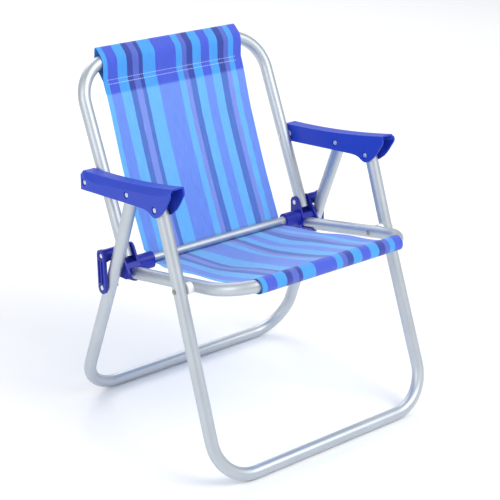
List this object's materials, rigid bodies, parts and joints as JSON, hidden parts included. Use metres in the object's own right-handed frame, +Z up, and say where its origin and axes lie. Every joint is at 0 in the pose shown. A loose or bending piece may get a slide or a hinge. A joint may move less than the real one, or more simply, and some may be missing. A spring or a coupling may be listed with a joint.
{
  "type": "folding beach chair",
  "caption": "Child-size low folding beach chair: bent aluminium tube frame, moulded armrests and a striped fabric sling.",
  "frame": {"origin": "on the ground, at the middle of the footprint of the open chair's bounding box", "axes": "+Z up, -Y towards the front of the chair, +X to the right as seen from in front"},
  "size_m": [0.4244, 0.4127, 0.5352],
  "materials": {
    "tube": "satin drawn aluminium tube",
    "crossbar": "satin drawn aluminium tube",
    "armrest_plastic": "moulded polypropylene with a fine grain, semi-gloss blue",
    "bracket_plastic": "moulded polypropylene, semi-gloss dark blue",
    "rivet": "zinc-plated steel",
    "spacer": "white nylon",
    "fabric": "woven polyester, striped in light blue, violet-blue and navy"
  },
  "bodies": {
    "seat": {"seat_frame": "tube", "crossbar": "crossbar", "hinge_bracket_left": "bracket_plastic", "hinge_bracket_right": "bracket_plastic", "back_pivot_pin_left": "rivet", "back_pivot_pin_right": "rivet", "seat_pivot_rivet_left": "rivet", "seat_pivot_rivet_right": "rivet", "seat_spacer_left": "spacer", "seat_spacer_right": "spacer", "bracket_rivet_left": "rivet", "bracket_rivet_right": "rivet", "sling_seat": "fabric"},
    "back": {"back_frame": "tube", "sling_back": "fabric"},
    "front_legs": {"front_leg_frame": "tube"},
    "armrests": {"armrest_left": "armrest_plastic", "armrest_right": "armrest_plastic", "arm_front_rivet_left": "rivet", "arm_front_rivet_right": "rivet", "arm_middle_rivet_left": "rivet", "arm_middle_rivet_right": "rivet", "arm_rear_rivet_left": "rivet", "arm_rear_rivet_right": "rivet", "arm_washer_left": "spacer", "arm_washer_right": "spacer"},
    "rear_legs": {"rear_leg_frame": "tube", "rear_leg_rivet_left": "rivet", "rear_leg_rivet_right": "rivet"},
    "links": {"link_left": "bracket_plastic", "link_right": "bracket_plastic", "link_rivet_left": "rivet", "link_rivet_right": "rivet"}
  },
  "joints": [
    {"name": "back_fold", "type": "hinge", "parent": "seat", "child": "back", "pos_m": [0, 0.07755, 0.2685], "axis": [1, 0, 0], "range_deg": [0, 98]},
    {"name": "front_legs_fold", "type": "hinge", "parent": "seat", "child": "front_legs", "pos_m": [0, -0.09745, 0.2712], "axis": [1, 0, 0], "range_deg": [0, 93.94]},
    {"name": "armrests_fold", "type": "hinge", "parent": "back", "child": "armrests", "pos_m": [0, 0.12343, 0.36848], "axis": [1, 0, 0], "range_deg": [-96.17, 0]},
    {"name": "rear_legs_fold", "type": "hinge", "parent": "armrests", "child": "rear_legs", "pos_m": [0, 0.01237, 0.38127], "axis": [1, 0, 0], "range_deg": [0, 49.65]},
    {"name": "links_fold", "type": "hinge", "parent": "seat", "child": "links", "pos_m": [0, 0.07755, 0.2685], "axis": [1, 0, 0], "range_deg": [-76.46, 0]}
  ],
  "couplings": [
    {"joint": "front_legs_fold", "follows": "back_fold", "ratio": 0.9581},
    {"joint": "armrests_fold", "follows": "back_fold", "ratio": -0.9808},
    {"joint": "rear_legs_fold", "follows": "back_fold", "ratio": 0.5061},
    {"joint": "links_fold", "follows": "back_fold", "ratio": -0.7797}
  ]
}
